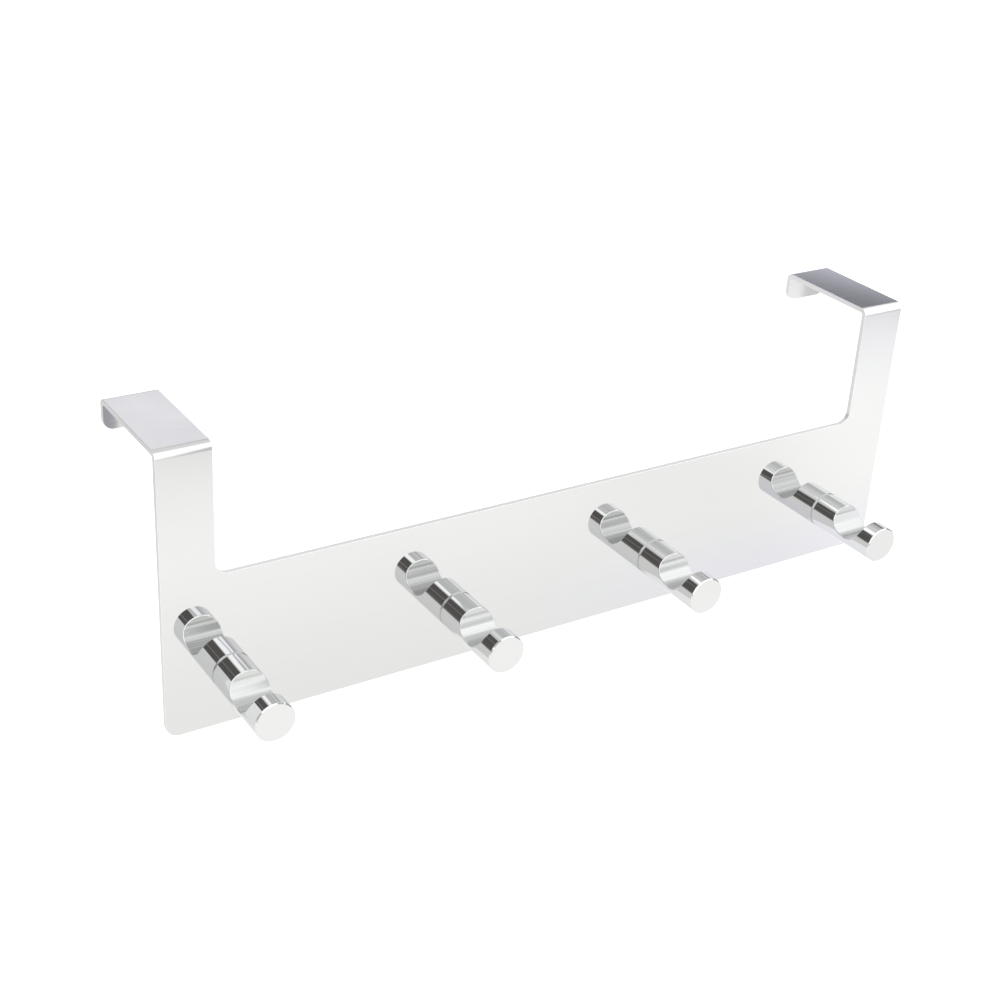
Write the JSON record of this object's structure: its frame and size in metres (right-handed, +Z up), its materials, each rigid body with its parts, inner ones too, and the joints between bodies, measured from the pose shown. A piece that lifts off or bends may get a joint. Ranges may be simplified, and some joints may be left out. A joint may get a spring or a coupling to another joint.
{
  "type": "over door hook",
  "caption": "Over-door hook rail: a folded bright metal plate that hangs on a door's top edge by a strap at each end, with round notched pegs along its front.",
  "frame": {"origin": "mid-length of the rail, on the line where the door's front face meets its top edge: the panel's back is at y = 0 and the straps' undersides at z = 0", "axes": "+X along the rail, to the right as seen from the room; +Y from the room into the door; +Z up"},
  "size_m": [0.325, 0.1135, 0.1105],
  "materials": {
    "plate": "bright satin stainless sheet with soft reflections",
    "pegs": "mirror chrome",
    "screws": "plain zinc-plated steel"
  },
  "bodies": {
    "root": {"hook_plate": "plate", "peg_1": "pegs", "peg_2": "pegs", "peg_3": "pegs", "peg_4": "pegs", "peg_screws": "screws"}
  },
  "joints": []
}
